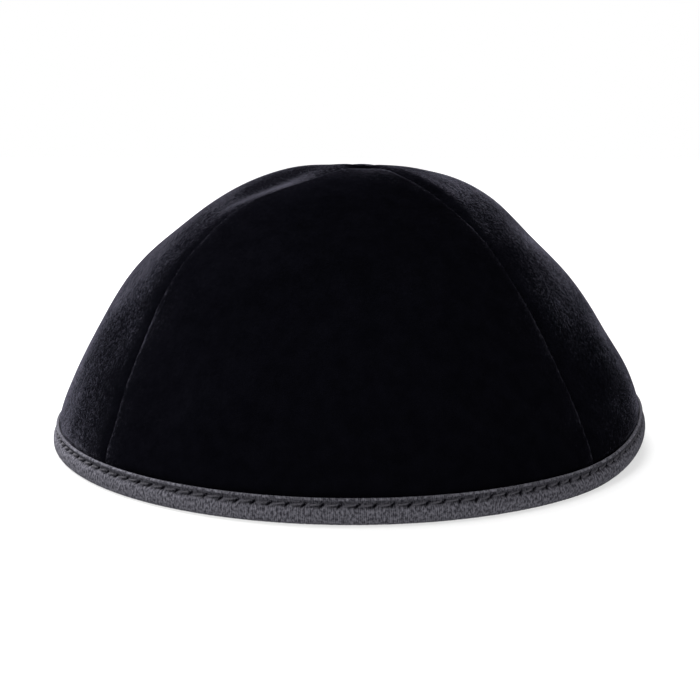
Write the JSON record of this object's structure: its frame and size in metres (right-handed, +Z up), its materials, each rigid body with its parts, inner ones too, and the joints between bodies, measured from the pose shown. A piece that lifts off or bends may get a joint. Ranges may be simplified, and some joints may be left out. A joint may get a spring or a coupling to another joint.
{
  "type": "kippah skullcap",
  "caption": "Domed skullcap of black velvet panels sewn edge to edge into a crown, its rim bound with a folded woven tape; worn on the top of the head.",
  "frame": {"origin": "centre of the rim, on the surface that the cap rests on", "axes": "+Z up through the crown, -Y towards the front panel, +X to the viewer's right when the front panel is seen"},
  "size_m": [0.1502, 0.1502, 0.0682],
  "materials": {
    "velvet": "matt black velvet pile with a soft sheen at grazing angles",
    "tape": "charcoal woven tape with fine ribs"
  },
  "bodies": {
    "root": {"panel_front": "velvet", "panel_right": "velvet", "panel_back": "velvet", "panel_left": "velvet", "rim_binding": "tape"}
  },
  "joints": []
}
